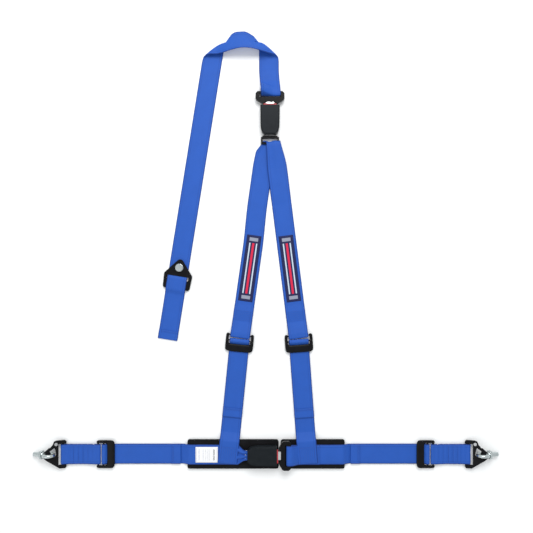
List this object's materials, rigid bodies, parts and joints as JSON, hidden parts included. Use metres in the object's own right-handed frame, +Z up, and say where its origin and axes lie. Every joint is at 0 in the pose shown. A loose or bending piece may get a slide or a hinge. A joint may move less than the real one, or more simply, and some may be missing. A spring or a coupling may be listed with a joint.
{
  "type": "racing harness",
  "caption": "Three-strap racing harness laid flat: padded lap belt with press-button buckle, two shoulder straps, rear strap, adjusters, snap hooks and eyebolts.",
  "frame": {"origin": "centre of the laid-out harness on the surface it lies on", "axes": "+X to the harness's right as laid out, +Y from the lap belt towards the rear strap, +Z up"},
  "size_m": [1.13, 1.0465, 0.032],
  "materials": {
    "webbing": "woven polyester, satin",
    "pad_cloth": "woven cover, matte",
    "patch_cloth": "woven patch",
    "label_cloth": "printed cloth",
    "buckle_plastic": "satin",
    "grip_plastic": "fine grain",
    "button_plastic": "gloss",
    "inner_plastic": "plain",
    "tongue_steel": "polished",
    "zinc_plate": "zinc plated",
    "bolt_zinc": "bright zinc",
    "spring_steel": "plain",
    "black_steel": "black satin coat"
  },
  "bodies": {
    "harness": {"upper_buckle_base": "buckle_plastic", "upper_buckle_cover": "buckle_plastic", "upper_buckle_frame": "zinc_plate", "upper_buckle_springs": "spring_steel", "upper_anchor_ring": "black_steel", "lap_buckle_base": "buckle_plastic", "lap_buckle_cover": "buckle_plastic", "lap_buckle_frame": "zinc_plate", "lap_buckle_springs": "spring_steel", "shoulder_strap_left": "webbing", "shoulder_patch_left": "patch_cloth", "chest_strap_left": "webbing", "lap_strap_left": "webbing", "lap_pad_left": "pad_cloth", "care_label": "label_cloth"},
    "right_half": {"shoulder_strap_right": "webbing", "shoulder_patch_right": "patch_cloth", "chest_strap_right": "webbing", "lap_strap_right": "webbing", "lap_pad_right": "pad_cloth", "lap_tongue_blade": "tongue_steel", "lap_tongue_grip": "grip_plastic"},
    "rear_strap": {"rear_strap": "webbing", "upper_tongue_blade": "tongue_steel", "upper_tongue_grip": "grip_plastic", "rear_bracket": "black_steel"},
    "rear_bolt": {"rear_anchor_bolt": "bolt_zinc"},
    "upper_button": {"upper_buckle_button": "button_plastic"},
    "upper_latch": {"upper_buckle_latch": "zinc_plate"},
    "upper_ejector": {"upper_buckle_ejector": "inner_plastic"},
    "lap_button": {"lap_buckle_button": "button_plastic"},
    "lap_latch": {"lap_buckle_latch": "zinc_plate"},
    "lap_ejector": {"lap_buckle_ejector": "inner_plastic"},
    "lap_end_left": {"lap_tail_left": "webbing", "hook_strap_left": "webbing"},
    "lap_adjuster_left": {"lap_adjuster_left": "black_steel", "lap_lock_bar_left": "black_steel", "lap_turn_left": "webbing"},
    "shoulder_adjuster_left": {"shoulder_adjuster_left": "black_steel", "shoulder_lock_bar_left": "black_steel", "shoulder_turn_left": "webbing"},
    "snap_hook_left": {"snap_hook_left": "black_steel", "gate_rivet_left": "zinc_plate", "gate_spring_left": "spring_steel"},
    "hook_gate_left": {"hook_gate_left": "black_steel"},
    "eyebolt_left": {"eyebolt_left": "bolt_zinc"},
    "lap_end_right": {"lap_tail_right": "webbing", "hook_strap_right": "webbing"},
    "lap_adjuster_right": {"lap_adjuster_right": "black_steel", "lap_lock_bar_right": "black_steel", "lap_turn_right": "webbing"},
    "shoulder_adjuster_right": {"shoulder_adjuster_right": "black_steel", "shoulder_lock_bar_right": "black_steel", "shoulder_turn_right": "webbing"},
    "snap_hook_right": {"snap_hook_right": "black_steel", "gate_rivet_right": "zinc_plate", "gate_spring_right": "spring_steel"},
    "hook_gate_right": {"hook_gate_right": "black_steel"},
    "eyebolt_right": {"eyebolt_right": "bolt_zinc"}
  },
  "joints": [
    {"name": "rear_release", "type": "slide", "parent": "harness", "child": "rear_strap", "axis": [0, 1, 0], "range_m": [0, 0.028]},
    {"name": "upper_latch_lift", "type": "hinge", "parent": "harness", "child": "upper_latch", "pos_m": [0.0105, 0.3177, 0.0152], "axis": [1, 0, 0], "range_deg": [0, 11.5]},
    {"name": "upper_ejector_slide", "type": "slide", "parent": "harness", "child": "upper_ejector", "axis": [0, 1, 0], "range_m": [0, 0.0115]},
    {"name": "upper_button_press", "type": "slide", "parent": "harness", "child": "upper_button", "axis": [0, -1, 0], "range_m": [0, 0.004], "stiffness_N_per_m": 900, "deforming": ["upper_buckle_springs"]},
    {"name": "rear_bolt_turn", "type": "hinge", "parent": "rear_strap", "child": "rear_bolt", "pos_m": [-0.21031, -0.03358, 0.005], "axis": [0, 0, 1], "continuous": true},
    {"name": "lap_release", "type": "hinge", "parent": "harness", "child": "right_half", "pos_m": [0.0244, 0.2647, 0], "axis": [0, 0, 1], "range_deg": [0, 2.2]},
    {"name": "lap_latch_lift", "type": "hinge", "parent": "harness", "child": "lap_latch", "pos_m": [-0.015, -0.4873, 0.0242], "axis": [0, -1, 0], "range_deg": [0, 11.5]},
    {"name": "lap_ejector_slide", "type": "slide", "parent": "harness", "child": "lap_ejector", "axis": [1, 0, 0], "range_m": [0, 0.0115]},
    {"name": "lap_button_press", "type": "slide", "parent": "harness", "child": "lap_button", "axis": [-1, 0, 0], "range_m": [0, 0.004], "stiffness_N_per_m": 900, "deforming": ["lap_buckle_springs"]},
    {"name": "lap_length_left", "type": "slide", "parent": "harness", "child": "lap_end_left", "axis": [-1, 0, 0], "range_m": [-0.003, 0.03]},
    {"name": "lap_adjuster_tilt_left", "type": "hinge", "parent": "lap_end_left", "child": "lap_adjuster_left", "pos_m": [-0.407, -0.4873, 0.0064], "axis": [0, -1, 0], "range_deg": [0, 30]},
    {"name": "shoulder_adjuster_tilt_left", "type": "hinge", "parent": "harness", "child": "shoulder_adjuster_left", "pos_m": [-0.062, -0.19859, 0.0064], "axis": [-0.9951, 0.0993, 0], "range_deg": [0, 30]},
    {"name": "hook_swing_left", "type": "hinge", "parent": "lap_end_left", "child": "snap_hook_left", "pos_m": [-0.493, -0.4873, 0.006], "axis": [0, 1, 0], "range_deg": [0, 60]},
    {"name": "gate_open_left", "type": "hinge", "parent": "snap_hook_left", "child": "hook_gate_left", "pos_m": [-0.50828, -0.4608, 0.01073], "axis": [0.2956, 0, 0.9553], "range_deg": [0, 14], "stiffness_Nm_per_rad": 0.05},
    {"name": "eyebolt_swing_left", "type": "hinge", "parent": "snap_hook_left", "child": "eyebolt_left", "pos_m": [-0.52548, -0.4873, 0.01605], "axis": [0, 1, 0], "range_deg": [0, 90]},
    {"name": "lap_length_right", "type": "slide", "parent": "right_half", "child": "lap_end_right", "axis": [1, 0, 0], "range_m": [-0.003, 0.03]},
    {"name": "lap_adjuster_tilt_right", "type": "hinge", "parent": "lap_end_right", "child": "lap_adjuster_right", "pos_m": [0.407, -0.4873, 0.0064], "axis": [0, 1, 0], "range_deg": [0, 30]},
    {"name": "shoulder_adjuster_tilt_right", "type": "hinge", "parent": "right_half", "child": "shoulder_adjuster_right", "pos_m": [0.07966, -0.19958, 0.0064], "axis": [-0.9973, -0.0732, 0], "range_deg": [0, 30]},
    {"name": "hook_swing_right", "type": "hinge", "parent": "lap_end_right", "child": "snap_hook_right", "pos_m": [0.493, -0.4873, 0.006], "axis": [0, -1, 0], "range_deg": [0, 60]},
    {"name": "gate_open_right", "type": "hinge", "parent": "snap_hook_right", "child": "hook_gate_right", "pos_m": [0.50828, -0.4608, 0.01073], "axis": [0.2956, 0, -0.9553], "range_deg": [0, 14], "stiffness_Nm_per_rad": 0.05},
    {"name": "eyebolt_swing_right", "type": "hinge", "parent": "snap_hook_right", "child": "eyebolt_right", "pos_m": [0.52548, -0.4873, 0.01605], "axis": [0, -1, 0], "range_deg": [0, 90]}
  ],
  "couplings": [
    {"joint": "upper_latch_lift", "follows": "rear_release", "rad_per_m": 6.75},
    {"joint": "upper_ejector_slide", "follows": "rear_release", "ratio": 0.4},
    {"joint": "lap_latch_lift", "follows": "lap_release", "ratio": 4.92},
    {"joint": "lap_ejector_slide", "follows": "lap_release", "m_per_rad": 0.29}
  ]
}
